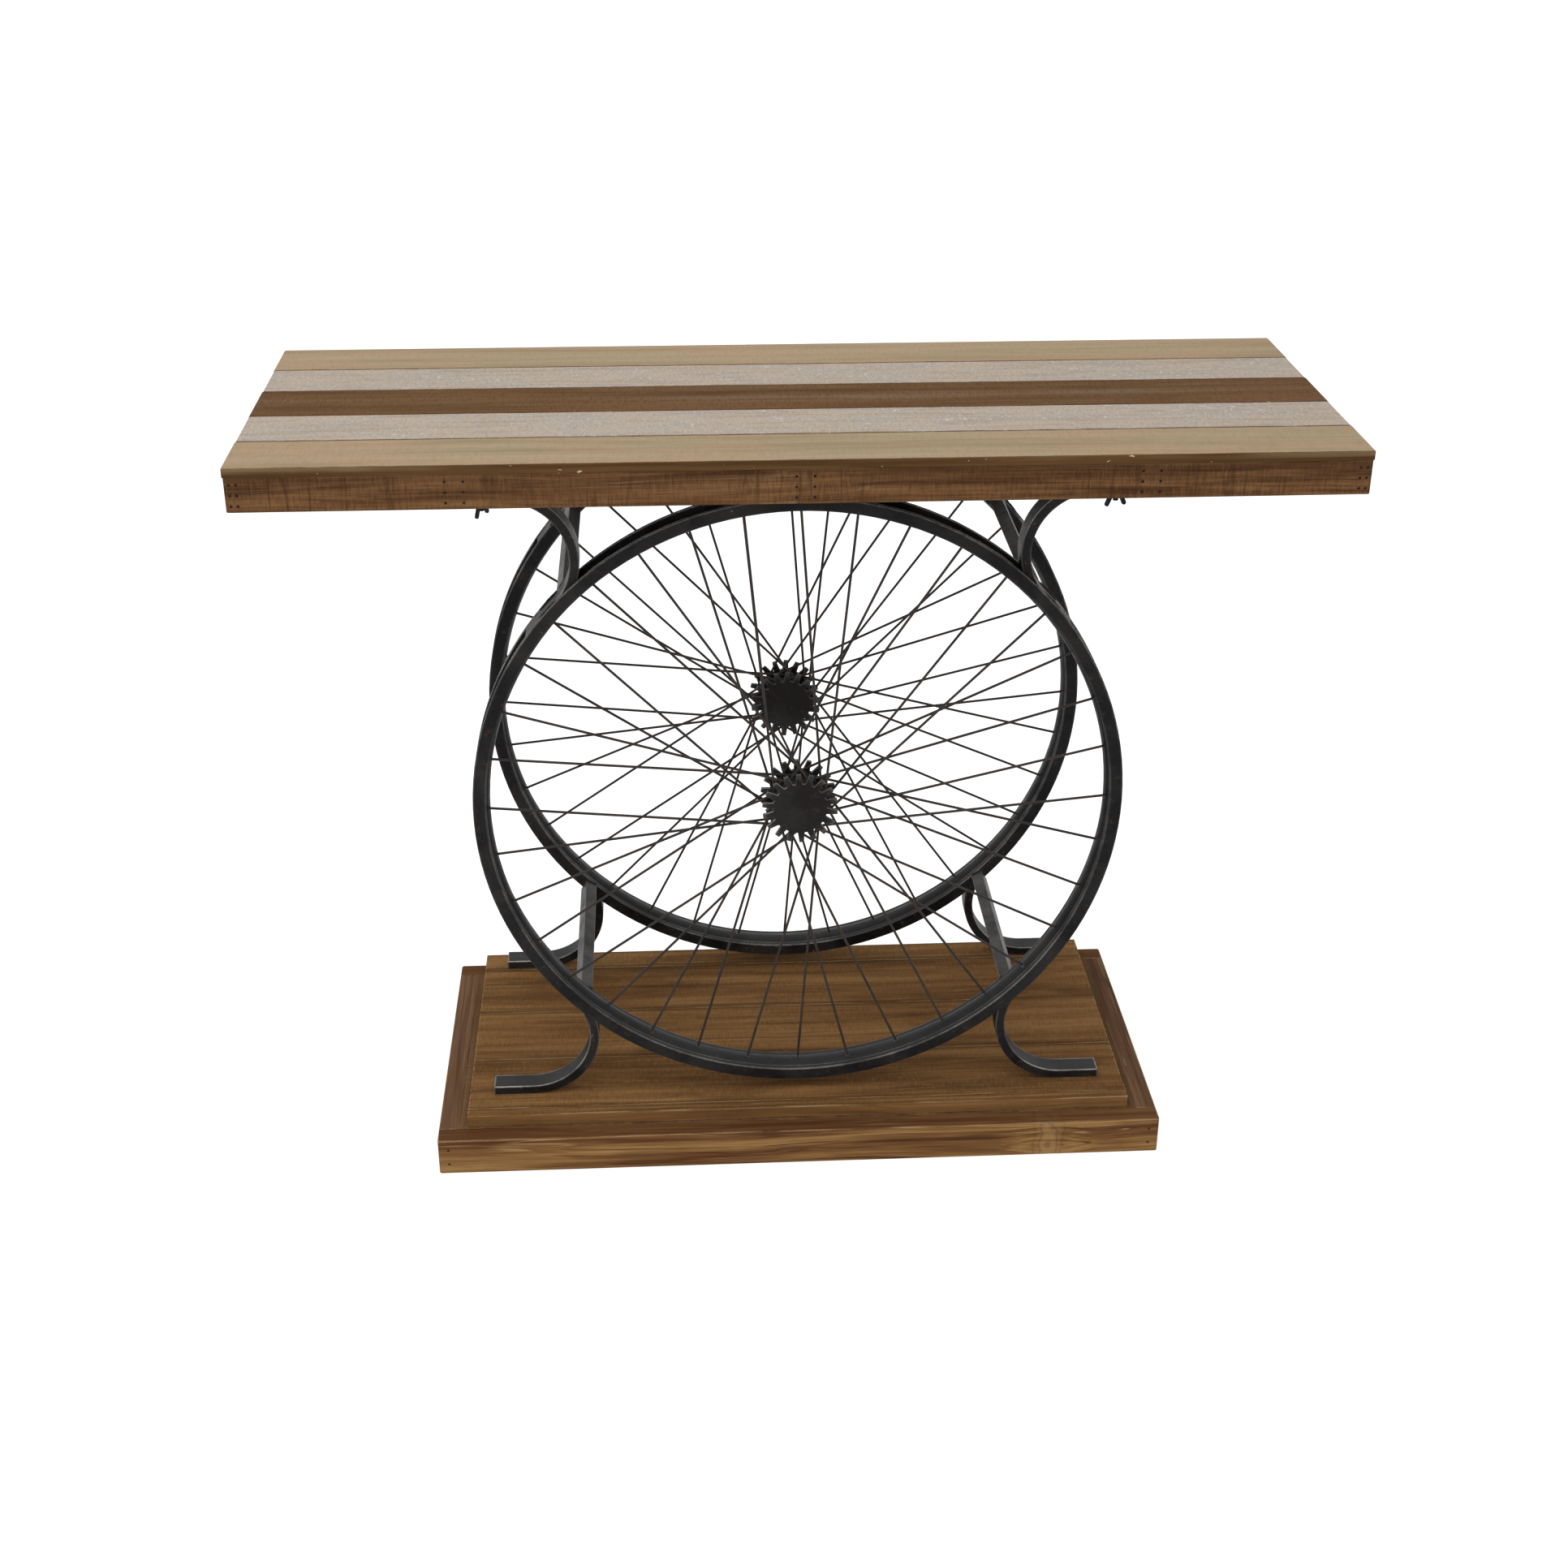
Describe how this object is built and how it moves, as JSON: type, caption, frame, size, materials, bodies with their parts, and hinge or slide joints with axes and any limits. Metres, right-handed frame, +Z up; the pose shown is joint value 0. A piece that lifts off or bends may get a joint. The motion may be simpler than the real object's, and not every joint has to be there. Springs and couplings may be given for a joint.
{
  "type": "console table",
  "caption": "Rustic console table: a plank top on a deep wooden frame, carried by two spoked channel-rim wheels with bent-bar feet on a stepped wooden base.",
  "frame": {"origin": "on the floor below the middle of the table, midway between the two wheel planes, on the underside of the middle cleat", "axes": "+X to the right along the table's length, +Y from the front to the rear, +Z up"},
  "size_m": [1.2, 0.4547, 0.8853],
  "materials": {
    "plank_tan": "matt, brushed",
    "plank_whitewash": "matt whitewash, brushed",
    "plank_brown": "matt stain",
    "rail_wood": "rough sawn, stained",
    "batten_wood": "rough sawn",
    "base_wood": "rough, stained",
    "base_end_wood": "rough, stained dark",
    "panel_wood": "plain panel",
    "nail_metal": "dark, matt",
    "rim_metal": "dark lacquer with worn bright edges",
    "spoke_metal": "dark lacquer",
    "hub_metal": "dark lacquer with worn bright edges",
    "bar_metal": "dark lacquer with worn bright edges",
    "hardware_metal": "dull"
  },
  "bodies": {
    "table": {"apron_front": "rail_wood", "apron_left": "rail_wood", "apron_nails": "nail_metal", "apron_rear": "rail_wood", "apron_right": "rail_wood", "base_board_front": "base_wood", "base_board_left": "base_end_wood", "base_board_rear": "base_wood", "base_board_right": "base_end_wood", "base_nails": "nail_metal", "batten_left": "batten_wood", "batten_middle": "batten_wood", "batten_right": "batten_wood", "bolts": "hardware_metal", "bracket_front_left": "bar_metal", "bracket_front_right": "bar_metal", "bracket_rear_left": "bar_metal", "bracket_rear_right": "bar_metal", "cleat_left": "panel_wood", "cleat_middle": "panel_wood", "cleat_right": "panel_wood", "cross_bar_lower_left": "bar_metal", "cross_bar_lower_right": "bar_metal", "cross_bar_upper_left": "bar_metal", "cross_bar_upper_right": "bar_metal", "deck_board_1": "base_wood", "deck_board_2": "base_wood", "deck_board_3": "base_wood", "deck_board_4": "base_wood", "deck_board_5": "base_wood", "foot_front_left": "bar_metal", "foot_front_right": "bar_metal", "foot_rear_left": "bar_metal", "foot_rear_right": "bar_metal", "foot_screws": "hardware_metal", "hub_disc_front_front": "hub_metal", "hub_disc_front_rear": "hub_metal", "hub_disc_rear_front": "hub_metal", "hub_disc_rear_rear": "hub_metal", "hub_tube_front": "hub_metal", "hub_tube_rear": "hub_metal", "rim_front": "rim_metal", "rim_rear": "rim_metal", "spokes_front_front": "spoke_metal", "spokes_front_rear": "spoke_metal", "spokes_rear_front": "spoke_metal", "spokes_rear_rear": "spoke_metal", "sub_panel": "panel_wood", "top_plank_1": "plank_tan", "top_plank_2": "plank_whitewash", "top_plank_3": "plank_brown", "top_plank_4": "plank_whitewash", "top_plank_5": "plank_tan", "washers": "hardware_metal"},
    "wing_nut_front_left": {"wing_nut_front_left": "hardware_metal"},
    "wing_nut_front_right": {"wing_nut_front_right": "hardware_metal"},
    "wing_nut_rear_left": {"wing_nut_rear_left": "hardware_metal"},
    "wing_nut_rear_right": {"wing_nut_rear_right": "hardware_metal"}
  },
  "joints": [
    {"name": "wing_nut_front_left_turn", "type": "hinge", "parent": "table", "child": "wing_nut_front_left", "pos_m": [-0.3435, -0.147, 0.82002], "axis": [0, 0, 1], "continuous": true},
    {"name": "wing_nut_front_right_turn", "type": "hinge", "parent": "table", "child": "wing_nut_front_right", "pos_m": [0.3435, -0.147, 0.82002], "axis": [0, 0, 1], "continuous": true},
    {"name": "wing_nut_rear_left_turn", "type": "hinge", "parent": "table", "child": "wing_nut_rear_left", "pos_m": [-0.3435, 0.147, 0.82002], "axis": [0, 0, 1], "continuous": true},
    {"name": "wing_nut_rear_right_turn", "type": "hinge", "parent": "table", "child": "wing_nut_rear_right", "pos_m": [0.3435, 0.147, 0.82002], "axis": [0, 0, 1], "continuous": true}
  ]
}
